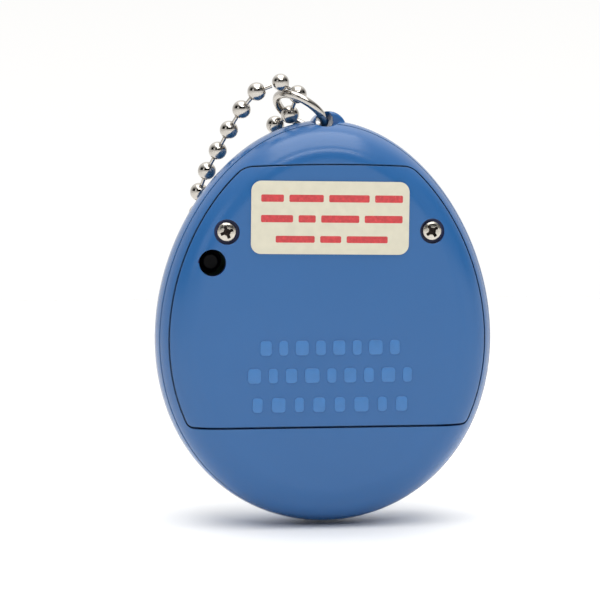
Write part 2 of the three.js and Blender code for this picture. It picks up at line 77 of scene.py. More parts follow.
LUG_X, LUG_Z, LUG_R = 0.6, 25.0, 2.4
LUG_FOOT_Z = 22.6
LUG_BACK_Y, LUG_BACK_ROUND = -0.55, 0.45
LUG_FRONT_Y, LUG_FRONT_ROUND = 2.1, 0.8
NOTCH_R, NOTCH_Z = 3.0, 28.3     # the arc cut in the rims behind the loop

COVER_T = 1.3
LEDGE_Y = -3.9                   # where the cover's side walls end, and the pocket that holds them
COVER_INSET, COVER_LOW_Z = 1.7, -13.1
COVER_TOP_Z, COVER_SAG, COVER_HALF_TOP = 20.4, 0.35, 11.4
COVER_ROUND_LOW, COVER_ROUND_TOP = 0.6, 0.9
GROOVE = 0.17                    # the gap seen round the cover
SCREW_X, SCREW_Z = 13.2, 11.95
SEAT_R, SEAT_DEPTH, SCREW_HOLE_R = 1.6, 0.75, 0.95
RESET_X, RESET_Z, RESET_R = -15.05, 8.05, 1.7
LABEL_W, LABEL_H, LABEL_Z, LABEL_TURN = 20.3, 9.3, 13.7, -0.7
LABEL_Y = -REAR - 0.125

CELL_R, CELL_X, CELL_Z = 5.8, 7.0, -1.0  # two button cells side by side
CUP_WALL, CUP_ROOM = 1.0, 0.35
CUP_END_Y, CUP_FLOOR_Y = 0.7, -0.2
POSTS = [(-9, 17.1), (9, 17.1), (-15.2, -10.2), (15.2, -10.2)]
POST_R, POST_BORE, POST_HEAD_R, POST_HEAD_Y = 2.5, 1.05, 1.85, -3.5
BOSS_R, BOSS_BORE, BOSS_END_Y, BORE_END_Y = 2.0, 0.85, -1.6, -2.2
WINDOW, WINDOW_Z = 18.0, 4.0
SURROUND = WINDOW + 3.8
BUTTON_R = 2.6
BUTTONS = {"left": (-8.6, -12.5), "middle": (0.0, -13.6), "right": (8.6, -12.5)}

RING_R, WIRE_R = 3.5, 0.55
RING_ROOM, CLEARED_SWINGS = 0.4, (0, 18)  # the housing is cut clear of the ring at these swings
TUBE_WALL = 0.9                  # round the eye, inside the housing
BALL_R, LINK_R = 1.195, 0.27
TIGHT_BALL_R, TIGHT_LINK_R = 1.115, 0.22
LINK_START, LINK_STOP = 0.8, 1.21  # from its own ball's centre, and short of its neighbour's
SLEEVE_R, SLEEVE_WALL = 1.79, 0.32


# ------------------------------------------------------------------ mesh tools
def quarter(steps):
    """Angles of a quarter turn, in radians."""
    return [math.pi / 2 * i / steps for i in range(steps + 1)]


def circle(n):
    """Cosine and sine of n angles of a full turn."""
    return [(math.cos(2 * math.pi * i / n), math.sin(2 * math.pi * i / n)) for i in range(n)]


def add_object(name, me):
    ob = bpy.data.objects.new(name, me)
    bpy.context.scene.collection.objects.link(ob)
    return ob


def mesh_of(name, verts, faces):
    """A closed body with its faces turned outwards."""
    me = bpy.data.meshes.new(name)
    me.from_pydata([tuple(v) for v in verts], [], faces)
    me.update()
    bm = bmesh.new()
    bm.from_mesh(me)
    bmesh.ops.remove_doubles(bm, verts=bm.verts, dist=1e-5)
    bmesh.ops.recalc_face_normals(bm, faces=bm.faces)
    if bm.calc_volume(signed=True) < 0:
        bmesh.ops.reverse_faces(bm, faces=bm.faces)
    bm.to_mesh(me)
    bm.free()
    return add_object(name, me)


def skin(name, rings, caps=True):
    """Closed body through rings of equal count."""
    n = len(rings[0])
    verts = [point for ring in rings for point in ring]
    faces = []
    for r in range(len(rings) - 1):
        for i in range(n):
            j = (i + 1) % n
            faces.append((r * n + i, r * n + j, (r + 1) * n + j, (r + 1) * n + i))
    if caps:
        for r in (0, len(rings) - 1):
            middle = len(verts)
            verts.append(sum((Vector(v) for v in rings[r]), Vector()) / n)
            for i in range(n):
                faces.append((r * n + i, r * n + (i + 1) % n, middle))
    return mesh_of(name, verts, faces)


def rounded(w, h, r, n=8):
    """Outline of a rectangle with round corners."""
    points = []
    for side_x, side_z, start in ((1, 1, 0), (-1, 1, 90), (-1, -1, 180), (1, -1, 270)):
        cx = side_x * (w / 2 - r)
        cz = side_z * (h / 2 - r)
        for i in range(n + 1):
            a = math.radians(start + 90 * i / n)
            points.append((cx + r * math.cos(a), cz + r * math.sin(a)))
    return points


def prism(name, outline, y0, y1, x=0.0, z=0.0, turn=0.0, soft=0.0):
    """Outline in X-Z pushed along Y; soft rounds the edge at the y0 end."""
    c = math.cos(math.radians(turn))
    s = math.sin(math.radians(turn))

    def ring(y, inset=0.0):
        points = []
        for i, (px, pz) in enumerate(outline):
            ax, az = outline[i - 1]
            bx, bz = outline[(i + 1) % len(outline)]
            tx, tz = bx - ax, bz - az
            length = math.hypot(tx, tz) or 1.0
            px -= inset * tz / length
            pz += inset * tx / length
            points.append((x + c * px - s * pz, y, z + s * px + c * pz))
        return points

    if soft:
        turns = reversed(quarter(5))
        rings = [ring(y0 + soft * (1 - math.sin(t)), soft * (1 - math.cos(t))) for t in turns]
    else:
        rings = [ring(y0)]
    return skin(name, rings + [ring(y1)])


def turned(name, profile, x=0.0, z=0.0, n=64):
    """Radius and Y pairs turned about an axis along Y."""
    rings = []
    for r, y in profile:
        r = max(r, 1e-4)
        rings.append([(x + r * c, y, z + r * s) for c, s in circle(n)])
    return skin(name, rings)


def disc(name, r, y0, y1, x, z, n=64):
    return turned(name, [(r, y0), (r, y1)], x, z, n)


def brick(name, x0, x1, y0, y1, z0, z1):
    return prism(name, [(x1, z1), (x0, z1), (x0, z0), (x1, z0)], y0, y1)


def csg(a, b, operation):
    mod = a.modifiers.new("csg", "BOOLEAN")
    mod.object = b
    mod.operation = operation
    mod.solver = "MANIFOLD"
    graph = bpy.context.evaluated_depsgraph_get()
    result = bpy.data.meshes.new_from_object(a.evaluated_get(graph))
    a.modifiers.clear()
    spent = [a.data, b.data]
    a.data = result
    bpy.data.objects.remove(b)
    for me in spent:
        bpy.data.meshes.remove(me)
    return a


def cut(a, *others):
    for b in others:
        csg(a, b, "DIFFERENCE")
    return a


def join(a, *others):
    for b in others:
        csg(a, b, "UNION")
    return a


def both(a, b):
    return csg(a, b, "INTERSECT")


def done(ob, body, mat, nodes=(), sharp=32, origin=None, deep=None):
    """Millimetres to the row frame, then shading, material and body; the CAD nodes it stands for are hidden.

    origin is where the mesh's own zero lies, in metres; without it the mesh is about the egg's centre.
    deep is (material, test): faces whose middle passes the test get the second material, a darker one that
    paints the shade inside a recess.
    """
    origin = -EYE * MM if origin is None else origin
    me = ob.data
    painted_shade_faces = [f.index for f in me.polygons if deep and deep[1](f.center)]
    for v in me.vertices:
        v.co = v.co * MM + origin
    bm = bmesh.new()
    bm.from_mesh(me)
    for f in bm.faces:
        f.smooth = True
    for e in bm.edges:
        if len(e.link_faces) == 2:
            e.smooth = e.calc_face_angle(0.0) < math.radians(sharp)
    bm.to_mesh(me)
    bm.free()
    me.materials.clear()
    me.materials.append(mat.m)
    if deep:
        me.materials.append(deep[0].m)
        for i in painted_shade_faces:
            me.polygons[i].material_index = 1
    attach(ob, body)
    if nodes:
        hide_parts(*nodes)
    return ob


# ------------------------------------------------------------------ materials
def lin(*rgb):
    """Display values 0 to 255 as linear ones."""
    return tuple(v / 255 / 12.92 if v <= 10 else ((v / 255 + 0.055) / 1.055) ** 2.4 for v in rgb)


class Mat:
    """A Principled material whose colour, gloss and surface vary over the object's own coordinates."""

    def __init__(self, name, color, rough=0.4, metal=0.0, **sockets):
        self.m = bpy.data.materials.new(name)
        self.m.use_nodes = True
        self.t = self.m.node_tree
        self.b = next(n for n in self.t.nodes if n.type == "BSDF_PRINCIPLED")
        self.b.inputs["Base Color"].default_value = (*color, 1)
        self.b.inputs["Roughness"].default_value = rough
        self.b.inputs["Metallic"].default_value = metal
        for key, value in sockets.items():
            self.b.inputs[key.replace("_", " ")].default_value = value
        self.co = self.t.nodes.new("ShaderNodeTexCoord").outputs["Object"]
        self.color = color

    def noise(self, scale, detail=4.0, stretch=(1, 1, 1)):
        mapping = self.t.nodes.new("ShaderNodeMapping")
        mapping.inputs["Scale"].default_value = stretch
        self.t.links.new(self.co, mapping.inputs["Vector"])
        n = self.t.nodes.new("ShaderNodeTexNoise")
        n.inputs["Scale"].default_value = scale
        n.inputs["Detail"].default_value = detail
        n.inputs["Roughness"].default_value = 0.55
        self.t.links.new(mapping.outputs["Vector"], n.inputs["Vector"])
        return n.outputs["Fac"]

    def span(self, value, a, b, lo, hi):
        n = self.t.nodes.new("ShaderNodeMapRange")
        for key, v in (("From Min", a), ("From Max", b), ("To Min", lo), ("To Max", hi)):
            n.inputs[key].default_value = v
        self.t.links.new(value, n.inputs["Value"])
        return n.outputs["Result"]

    def tint(self, scale, amount):
        """The base colour, a little lighter and darker in patches."""
        ramp = self.t.nodes.new("ShaderNodeValToRGB")
        for end, position, change in zip(ramp.color_ramp.elements, (0.3, 0.7), (1 - amount, 1 + amount)):
            end.position = position
            end.color = (*(min(1.0, v * change) for v in self.color), 1)
        self.t.links.new(self.noise(scale), ramp.inputs["Fac"])
        self.t.links.new(ramp.outputs["Color"], self.b.inputs["Base Color"])
        return self

    def gloss(self, scale, lo, hi, **kw):
        self.t.links.new(self.span(self.noise(scale, **kw), 0.3, 0.7, lo, hi), self.b.inputs["Roughness"])
        return self

    def bump(self, scale, depth, round_mm=0.0):
        """Fine relief, with edges rounded in the shading by round_mm."""
        n = self.t.nodes.new("ShaderNodeBump")
        n.inputs["Strength"].default_value = 1.0
        n.inputs["Distance"].default_value = depth
        self.t.links.new(self.noise(scale), n.inputs["Height"])
        if round_mm:
            bevel = self.t.nodes.new("ShaderNodeBevel")
            bevel.samples = 6
            bevel.inputs["Radius"].default_value = round_mm * MM
            self.t.links.new(bevel.outputs["Normal"], n.inputs["Normal"])
        self.t.links.new(n.outputs["Normal"], self.b.inputs["Normal"])
        return self

    def wear(self, scale, color, at=0.72, width=0.06):
        """Sparse rubbed or dusty flecks over the base colour."""
        clean = self.b.inputs["Base Color"].links[0].from_socket
        mix = self.t.nodes.new("ShaderNodeMix")
        mix.data_type = "RGBA"
        self.t.links.new(self.span(self.noise(scale, detail=6), at, at + width, 0, 1), mix.inputs[0])
        self.t.links.new(clean, mix.inputs[6])
        mix.inputs[7].default_value = (*color, 1)
        self.t.links.new(mix.outputs[2], self.b.inputs["Base Color"])
        return self


BLUE = Mat("blue_plastic", lin(45, 97, 154), 0.2, IOR=1.45)
BLUE.tint(60, 0.02).gloss(300, 0.19, 0.25).bump(700, 1e-6, 0.12).wear(3000, lin(84, 134, 190), 0.8, 0.05)
# A darker blue painted on the walls of the screw seats and reset hole, standing in for the shade inside them.
BLUE_PAINTED_SHADE = Mat("blue_plastic_painted_recess_shade", lin(20, 34, 84), 0.45)
BLUE_PAINTED_SHADE.tint(600, 0.12).gloss(1500, 0.38, 0.52).bump(2500, 3e-6)
BLUE_MARK = Mat("blue_plastic_marks", lin(60, 116, 176), 0.3)
BLUE_MARK.tint(900, 0.06).gloss(1800, 0.3, 0.42).bump(3000, 3e-6)
NICKEL = Mat("nickel_plate", lin(186, 181, 174), 0.12, 1.0)
NICKEL.tint(700, 0.05).gloss(1500, 0.08, 0.2).bump(1800, 1.2e-6, 0.06)
NICKEL.wear(1300, lin(150, 146, 140), 0.7, 0.08)
# A dark brown painted in the screws' cross slots, standing in for the shade inside them.
SLOT_PAINTED_SHADE = Mat("screw_slot_painted_shade", lin(44, 34, 30), 0.5, 0.6)
SLOT_PAINTED_SHADE.tint(2000, 0.3).gloss(3000, 0.4, 0.6).bump(5000, 3e-6)
SCREW = Mat("screw_nickel", lin(196, 190, 180), 0.16, 1.0)
SCREW.tint(1500, 0.08).gloss(3000, 0.14, 0.32, stretch=(1, 1, 6)).bump(4000, 1.5e-6, 0.05)
STEEL = Mat("bright_steel", lin(196, 198, 202), 0.28, 1.0)
STEEL.tint(500, 0.06).gloss(1600, 0.2, 0.38, stretch=(1, 8, 1)).bump(2600, 1e-6, 0.08)
PAPER = Mat("label_paper", lin(212, 207, 187), 0.55)
PAPER.tint(900, 0.035).gloss(1500, 0.45, 0.62).bump(5200, 3e-6, 0.03)
PAPER.wear(260, lin(214, 200, 168), 0.62, 0.2)
INK = Mat("label_ink", lin(196, 62, 66), 0.5)
INK.tint(2600, 0.16).gloss(2400, 0.42, 0.6).bump(5200, 2e-6)
INK.wear(5200, lin(222, 150, 140), 0.66, 0.1)
PALE = Mat("pale_plastic", lin(232, 230, 222), 0.28, Coat_Weight=0.2)
PALE.tint(200, 0.03).gloss(500, 0.22, 0.34).bump(1200, 2e-6, 0.12).wear(700, lin(206, 200, 186), 0.72, 0.08)
BLACK = Mat("dark_plastic", lin(5, 5, 9), 0.7, Specular_IOR_Level=0.15)
BLACK.tint(600, 0.2).gloss(1500, 0.34, 0.52).bump(2600, 3e-6, 0.06)
BOARD = Mat("board_green", lin(34, 96, 52), 0.4)
BOARD.tint(400, 0.12).gloss(1200, 0.3, 0.5).bump(2500, 4e-6)
BRASS = Mat("buzzer_brass", lin(206, 168, 92), 0.28, 1.0)
BRASS.tint(500, 0.08).gloss(2000, 0.2, 0.36).bump(2500, 2e-6)
RUBBER = Mat("grey_rubber", lin(118, 120, 124), 0.75)
RUBBER.tint(900, 0.08).gloss(1500, 0.66, 0.84).bump(4000, 6e-6)
LENS = Mat("clear_lens", (0.95, 0.97, 0.97), 0.04, Transmission_Weight=0.92, IOR=1.49)
LENS.tint(120, 0.02).gloss(200, 0.03, 0.05).bump(200, 1e-7)
LCD = Mat("display_glass", lin(150, 158, 138), 0.22, Coat_Weight=0.4)
LCD.tint(90, 0.02).gloss(300, 0.18, 0.24)
LCD.wear(900, lin(146, 154, 135), 0.6, 0.2)
FLOOR = Mat("floor", lin(254, 254, 253), 0.7)
FLOOR.tint(14, 0.012).gloss(60, 0.5, 0.6).bump(500, 4e-6)


# ------------------------------------------------------------------ the egg
def egg(angle, inset):
    """A point of the egg's outline, moved in by inset."""
    s = math.sin(angle)
    half_w = (EGG_HALF_W - inset) * math.cos(angle)
    return half_w * (1 + EGG_TAPER * s + EGG_BULGE * s * s), (EGG_HALF_H - inset) * s


def loft(name, stations):
    """Body through egg outlines, each given as (inset, y)."""
    rings = []
    for inset, y in stations:
        outline = [egg(2 * math.pi * i / EGG_STEPS, inset) for i in range(EGG_STEPS)]
        rings.append([(x, y, z) for x, z in outline])
    return skin(name, rings)


def egg_inset(y, reach, closes_in, skin_in):
    """How far the outline has closed in at depth y, for a skin skin_in under the outer one."""
    u = min(1.0, abs(y) / (reach - skin_in))
    return skin_in + (closes_in - skin_in * 0.4) * (1 - math.sqrt(1 - u * u))


def rear_inset(y, skin_in=0.0):
    return egg_inset(y, REAR, REAR_IN, skin_in)


def front_inset(y, skin_in=0.0):
    return egg_inset(y, FRONT, FRONT_IN, skin_in)


def shoulder(y0, y1, reach, inset_at, skin_in, steps):
    """Stations along a shoulder's quarter ellipse, closer together where it turns most."""
    a, b = (math.asin(max(-1, min(1, y / reach))) for y in (y0, y1))
    stations = []
    for i in range(steps + 1):
        y = reach * math.sin(a + (b - a) * i / steps)
        stations.append((inset_at(y, skin_in), y))
    return stations


def rear_core(name, skin_in, y_end=0.0, steps=26):
    """Solid bounded by the rear skin moved in by skin_in."""
    depth = REAR - skin_in
    return loft(name, shoulder(-depth, y_end, depth, rear_inset, skin_in, steps))


# ------------------------------------------------------------------ cover outline
def walk(outline, i, step, reach):
    """The point that lies reach along the outline from corner i, and the index beyond it."""
    p = Vector(outline[i])
    while True:
        i = (i + step) % len(outline)
        q = Vector(outline[i])
        side = (q - p).length
        if side >= reach:
            return p + (q - p) * (reach / side), i
        reach -= side
        p = q


def corner_turn(outline, i):
    before = Vector(outline[i]) - Vector(outline[i - 1])
    after = Vector(outline[(i + 1) % len(outline)]) - Vector(outline[i])
    if min(before.length, after.length) <= 1e-6:
        return 0.0
    return before.angle(after)


def fillet(outline, low, top):
    """Round the sharp corners; low and top are how far each curve reaches along the sides."""
    n = len(outline)
    curves = {}
    dropped = set()
    for i in range(n):
        if corner_turn(outline, i) <= math.radians(25):
            continue
        reach = low if outline[i][1] < 0 else top
        start, last_kept = walk(outline, i, -1, reach)
        end, next_kept = walk(outline, i, 1, reach)
        corner = Vector(outline[i])
        curve = []
        for k in range(11):
            u = k / 10
            curve.append(tuple(start * (1 - u) ** 2 + corner * 2 * u * (1 - u) + end * u * u))
        first = (last_kept + 1) % n
        curves.setdefault(first, []).extend(curve)
        while first != next_kept:
            dropped.add(first)
            first = (first + 1) % n
    points = []
    for i in range(n):
        if i in curves:
            points += curves[i]
        elif i not in dropped:
            points.append(outline[i])
    return points


def cover_prism(name, grow, y0, y1):
    """The battery cover's plan: the egg moved in, cut by an arched top and a straight foot."""
    def z_top(x):
        k = x / COVER_HALF_TOP
        return COVER_TOP_Z + grow - COVER_SAG * k * k

    z_low = COVER_LOW_Z - grow
    ring = [egg(2 * math.pi * i / 720, COVER_INSET - grow) for i in range(720)]
    inside = [(x, z) for x, z in ring if z_low < z < z_top(x)]
    right = sorted((p for p in inside if p[0] > 0), key=lambda p: p[1])
    left = sorted((p for p in inside if p[0] < 0), key=lambda p: -p[1])
    start, end = right[-1][0], left[0][0]
    top = []
    for i in range(1, 60):
        x = start + (end - start) * i / 60
        top.append((x, z_top(x)))
    outline = fillet(right + top + left, COVER_ROUND_LOW + grow, COVER_ROUND_TOP + grow)
    return prism(name, outline, y0, y1)


# ------------------------------------------------------------------ rear housing
def build_rear():
    seam = PART_Y - GAP / 2
    under = COVER_T + GAP / 2        # skin depth of the floor under the cover
    floor_y = -REAR + under
    rear = rear_core("rear_housing", HAIR, seam)
    inner = REAR - WALL
    cut(rear, loft("tmp", shoulder(-inner, PART_Y + 0.4, inner, rear_inset, WALL, 14)))
    panel = cut(rear_core("panel", under), rear_core("tmp", under + 1.0, 0.5))
    both(panel, cover_prism("tmp", 1.2, -REAR, seam))
    pocket = cut(cover_prism("pocket", GROOVE, -REAR - 1, LEDGE_Y), rear_core("tmp", under + 0.003, 0.2))
    join(rear, panel)
    cut(rear, pocket)
    for x in (-CELL_X, CELL_X):
        join(rear, disc("tmp", CELL_R + CUP_WALL, floor_y + 0.02, CUP_END_Y, x, CELL_Z))
    for x in (-CELL_X, CELL_X):
        cut(rear, disc("tmp", CELL_R + CUP_ROOM, -REAR - 1, CUP_FLOOR_Y, x, CELL_Z, 96))
    for x in (-SCREW_X, SCREW_X):
        boss = disc("tmp", BOSS_R, floor_y, BOSS_END_Y, x, SCREW_Z)
        join(rear, both(boss, rear_core("tmp2", under + 0.01, 0.5)))
        cut(rear, disc("tmp", BOSS_BORE, -REAR, BORE_END_Y, x, SCREW_Z, 32))
    cut(rear, disc("tmp", RESET_R + 0.35, -REAR, 0, RESET_X, RESET_Z))
    for x, z in POSTS:
        post = disc("tmp", POST_R, floor_y, PART_Y - 0.05, x, z)
        join(rear, both(post, rear_core("tmp2", under + 0.01, 0.5)))
        cut(rear, disc("tmp", POST_BORE, -REAR - 1, 0, x, z, 32))
        cut(rear, disc("tmp", POST_HEAD_R, -REAR - 1, POST_HEAD_Y, x, z, 48))
    cut(rear, disc("tmp", NOTCH_R, -8, 0, 0, NOTCH_Z, 128))
    done(rear, "egg", BLUE, ["rear_shell"])


# ------------------------------------------------------------------ key ring, and the way it sweeps
across = Vector((-0.83, 0, 0.558)).normalized()
along = Vector((-0.12, 0.92, -0.33))
along = (along - across * along.dot(across)).normalized()
ring_normal = across.cross(along)


def ring_mesh(name, wire, swing=0.0, nu=120, nv=20, gap=0.0):
    """A round wire bent into a ring through the eye; gap, in radians, leaves it open opposite."""
    rot = Quaternion(along, math.radians(swing))
    rings = []
    for i in range(nu + (1 if gap else 0)):
        a = gap / 2 + (2 * math.pi - gap) * i / nu
        out = across * math.cos(a) + along * math.sin(a)
        centre = across * RING_R + out * RING_R
        rings.append([tuple(EYE + rot @ (centre + out * (wire * c) + ring_normal * (wire * s)))
                      for c, s in circle(nv)])
    if gap:
        return skin(name, rings)
    rings.append(rings[0])
    return skin(name, rings, caps=False)


def build_ring():
    ob = ring_mesh("key_ring", WIRE_R - 0.005, 0, 160, 28, 0.03)
    rot = Quaternion(ring_normal, math.radians(150))
    centre = EYE + across * RING_R
    for v in ob.data.vertices:
        v.co = centre + rot @ (v.co - centre)
    done(ob, "ring", NICKEL, ["jump_ring"])


# ------------------------------------------------------------------ front housing
def eye_bore(name, radius, length):
    ob = turned(name, [(radius, -length / 2), (radius, length / 2)])
    ob.data.transform(Matrix.Rotation(math.radians(EYE_TILT), 4, "X"))
    ob.data.transform(Matrix.Translation(EYE))
    return ob


def build_lug(inner):
    """The moulded hood that the eye passes through."""
    r = LUG_R - HAIR
    top = LUG_Z - HAIR
    profile = [(0.01, LUG_BACK_Y - LUG_BACK_ROUND)]
    for t in quarter(6):
        profile.append((r - LUG_BACK_ROUND * (1 - math.sin(t)), LUG_BACK_Y - LUG_BACK_ROUND * math.cos(t)))
    for t in quarter(8):
        profile.append((r - LUG_FRONT_ROUND * (1 - math.cos(t)), LUG_FRONT_Y + LUG_FRONT_ROUND * math.sin(t)))
    profile.append((0.01, LUG_FRONT_Y + LUG_FRONT_ROUND))
    lug = turned("lug", profile, LUG_X, top, 96)
    join(lug, brick("tmp", LUG_X - r, LUG_X + r, LUG_BACK_Y, LUG_FRONT_Y, LUG_FOOT_Z, top))
    return cut(lug, loft("tmp", inner))


def build_front():
    outer = shoulder(PART_Y + GAP / 2, 0, REAR, rear_inset, HAIR, 8)
    outer += shoulder(0, FRONT - HAIR, FRONT - HAIR, front_inset, HAIR, 34)[1:]
    inner = [(rear_inset(PART_Y, WALL), PART_Y - 0.4)]
    inner += shoulder(0, FRONT - WALL, FRONT - WALL, front_inset, WALL, 14)
    front = loft("front_housing", outer)
    cut(front, loft("tmp", inner))
    join(front, build_lug(inner))
    join(front, both(eye_bore("tube", EYE_R + TUBE_WALL, 9), loft("tmp", outer)))
    opening = rounded(SURROUND + 2 * GAP, SURROUND + 2 * GAP, 3.5)
    cut(front, prism("tmp", opening, FRONT - 2.4, FRONT + 1, 0, WINDOW_Z))
    for x, z in BUTTONS.values():
        cut(front, disc("tmp", BUTTON_R + GAP, 0, FRONT + 1, x, z, 96))
    cut(front, eye_bore("tmp", EYE_R, 14), disc("tmp2", NOTCH_R, -8, -1.02, 0, NOTCH_Z, 128))
    for swing in CLEARED_SWINGS:
        cut(front, ring_mesh("tmp", WIRE_R + RING_ROOM, swing, 60, 14))
    done(front, "egg", BLUE, ["front_shell"])


# ------------------------------------------------------------------ battery cover
def in_hole_painted_shade(c):
    """True on the walls of the cover's screw seats and reset hole, where a darker blue paints the shade
    inside them.
    """
    screw = math.hypot(abs(c.x) - SCREW_X, c.z - SCREW_Z)
    reset = math.hypot(c.x - RESET_X, c.z - RESET_Z)
    below = -REAR + 0.06 < c.y < -REAR + 1.4
    return below and (screw < SEAT_R + 0.01 or reset < RESET_R + 0.01)


def build_cover():
    cover = rear_core("cover_panel", HAIR, -1.0, 40)
    cut(cover, rear_core("tmp", COVER_T, 0.5))
    both(cover, cover_prism("tmp", 0.0, -REAR - 1, LEDGE_Y - GAP / 2))
    for x in (-SCREW_X, SCREW_X):
        cut(cover, disc("tmp", SEAT_R, -REAR - 1, -REAR + SEAT_DEPTH, x, SCREW_Z, 72))
        cut(cover, disc("tmp", SCREW_HOLE_R, -REAR - 1, 0, x, SCREW_Z, 40))
    cut(cover, disc("tmp", RESET_R, -REAR - 1, 0, RESET_X, RESET_Z, 72))
    # The walls of the screw seats and the reset hole get the darker blue: painted shade.
    done(cover, "cover", BLUE, ["battery_cover"], deep=(BLUE_PAINTED_SHADE, in_hole_painted_shade))


def raised_marks():
    """Three centred rows of plain raised blocks, each row as (z, width, block widths)."""
    rows = [(-2.9, 18.0, (1.5, 1.2, 1.7, 1.3, 1.6, 1.2, 1.8, 1.3)),
            (-6.45, 21.2, (1.7, 1.2, 1.5, 1.9, 1.2, 1.6, 1.3, 1.8, 1.2)),
            (-10.2, 20.0, (1.3, 1.8, 1.2, 1.6, 1.4, 1.9, 1.2, 1.5))]
    height, lift = 1.9, 0.07
    for k, (z, width, blocks) in enumerate(rows):
        space = (width - sum(blocks)) / (len(blocks) - 1)
        x = -width / 2
        for i, w in enumerate(blocks):
            outline = rounded(w, height, 0.45, 6)
            mark = prism(f"raised_mark_{k}_{i}", outline, -REAR - lift, -REAR + 0.1, x + w / 2, z, 0, lift)
            done(mark, "cover", BLUE_MARK)
            x += w + space


def build_label():
    """The sticker, with three rows of plain bars, each row as (height above the middle, bars)."""
    paper = prism("back_sticker", rounded(LABEL_W, LABEL_H, 1.3, 10), LABEL_Y, -REAR - 0.01 + HAIR,
                  0, LABEL_Z, LABEL_TURN, 0.03)
    done(paper, "cover", PAPER, ["back_label"])
    rows = [(2.45, 0.93, ((-8.9, 2.9), (-5.3, 4.4), (-0.2, 5.2), (5.7, 3.6))),
            (-0.15, 0.93, ((-8.9, 4.1), (-4.1, 2.2), (-1.2, 4.9), (4.4, 4.9))),
            (-2.75, 0.868, ((-7.0, 5.0), (-1.3, 2.7), (2.1, 5.3)))]
    c = math.cos(math.radians(LABEL_TURN))
    s = math.sin(math.radians(LABEL_TURN))
    for k, (up, height, bars) in enumerate(rows):
        for i, (start, width) in enumerate(bars):
            mid_x = start + width / 2
            x = c * mid_x - s * up
            z = LABEL_Z + s * mid_x + c * up
            outline = rounded(width, height, 0.18, 4)
            bar = prism(f"print_bar_{k}_{i}", outline, LABEL_Y - 0.004, LABEL_Y + 0.02, x, z, LABEL_TURN)
            done(bar, "cover", INK)


def build_screw(word, side, turn):
    """A domed cross-head screw; turn is how far its cross is turned at rest."""
    seat = -REAR + SEAT_DEPTH - 0.02
    head_r, shank_r = 1.25, 0.7
    arm, half_w = 0.84, 0.2
    crown_r, dome = 0.35, 0.3
    shank, tip, tip_r = 2.9, 3.5, 0.25
    profile = [(0.001, seat - 2 * dome)]
    for t in quarter(9):
        profile.append((crown_r + (head_r - crown_r) * math.sin(t), seat - dome - dome * math.cos(t)))
    profile += [(head_r, seat), (shank_r, seat), (shank_r, seat + shank)]
    profile += [(tip_r, seat + tip), (0.001, seat + tip)]
    ob = turned(f"screw_head_{word}", profile)
    cross = brick("tmp", -arm, arm, seat - 1, seat - 0.1, -half_w, half_w)
    join(cross, brick("tmp2", -half_w, half_w, seat - 1, seat - 0.1, -arm, arm))
    cut(ob, cross)
    cut(ob, turned("tmp", [(0.5, seat - 1), (0.42, seat - 0.3), (0.05, seat - 0.02)], 0, 0, 24))
    ob.data.transform(Matrix.Rotation(math.radians(-turn), 4, "Y"))
    ob.data.transform(Matrix.Translation((side * SCREW_X, 0, SCREW_Z)))

    # Faces inside the cross slots, where a dark brown paints their shade.
    def in_cross_painted_shade(c):
        out = math.hypot(c.x - side * SCREW_X, c.z - SCREW_Z)
        return out < arm + 0.02 and seat - 0.5 < c.y < seat - 0.01

    # The faces inside the cross get the dark brown: painted shade in the slots.
    done(ob, f"screw_{word}", SCREW, [f"cover_screw_{word}"], deep=(SLOT_PAINTED_SHADE, in_cross_painted_shade))


# ------------------------------------------------------------------ screen side
def build_buttons():
    flange_y, flange_t, flange = 5.2, 0.6, 0.8
    proud, soft = 0.5, 0.55
    for word, (x, z) in BUTTONS.items():
        profile = [(0.001, flange_y), (BUTTON_R + flange, flange_y),
                   (BUTTON_R + flange, flange_y + flange_t), (BUTTON_R, flange_y + flange_t)]
        for t in quarter(8):
            profile.append((BUTTON_R - soft * (1 - math.cos(t)), FRONT + proud + soft * math.sin(t)))
        profile += [(1.2, FRONT + 1.14), (0.001, FRONT + 1.18)]
        ob = turned(f"play_button_{word}", profile, x, z, 72)
        done(ob, f"play_{word}", PALE, [f"button_{word}"])


def build_screen():
    border = rounded(SURROUND, SURROUND, 3.3, 12)
    surround = prism("screen_surround", border, FRONT - 2.0, FRONT + 0.28, 0, WINDOW_Z)
    opening = rounded(WINDOW + 0.2, WINDOW + 0.2, 2.45, 12)
    cut(surround, prism("tmp", opening, FRONT - 3, FRONT + 1, 0, WINDOW_Z))
    done(surround, "egg", PALE, ["screen_frame"])
    pane = rounded(WINDOW - 0.4, WINDOW - 0.4, 2.2, 12)
    lens = prism("screen_window", pane, FRONT - 1.7, FRONT - 0.5, 0, WINDOW_Z)
    done(lens, "egg", LENS, ["screen_lens"])


# ------------------------------------------------------------------ ball chain and connector
joints = {joint["name"]: joint for joint in frame["record"]["behaviour"]["joints"]}


def joint_point(name):
    """A joint's place, in mm from the row frame's origin."""
    return Vector(joints[name]["pos_m"]) * 1000


def ball(name, holes, radius):
    """A rolled ball: each hole has an inward-curled lip."""
    deep, hole_edge, lip_edge = 0.1, 15, 24
    bm = bmesh.new()
    bmesh.ops.create_icosphere(bm, subdivisions=5, radius=1.0)
    for v in bm.verts:
        way = v.co.normalized()
        r = radius
        for hole in holes:
            angle = math.degrees(way.angle(hole))
            if angle < hole_edge:
                r = min(r, radius - deep)
            elif angle < lip_edge:
                u = (angle - hole_edge) / (lip_edge - hole_edge)
                r = min(r, radius - deep * (1 - u * u * (3 - 2 * u)) ** 1.5)
        v.co = way * r
    me = bpy.data.meshes.new(name)
    bm.to_mesh(me)
    bm.free()
    return add_object(name, me)


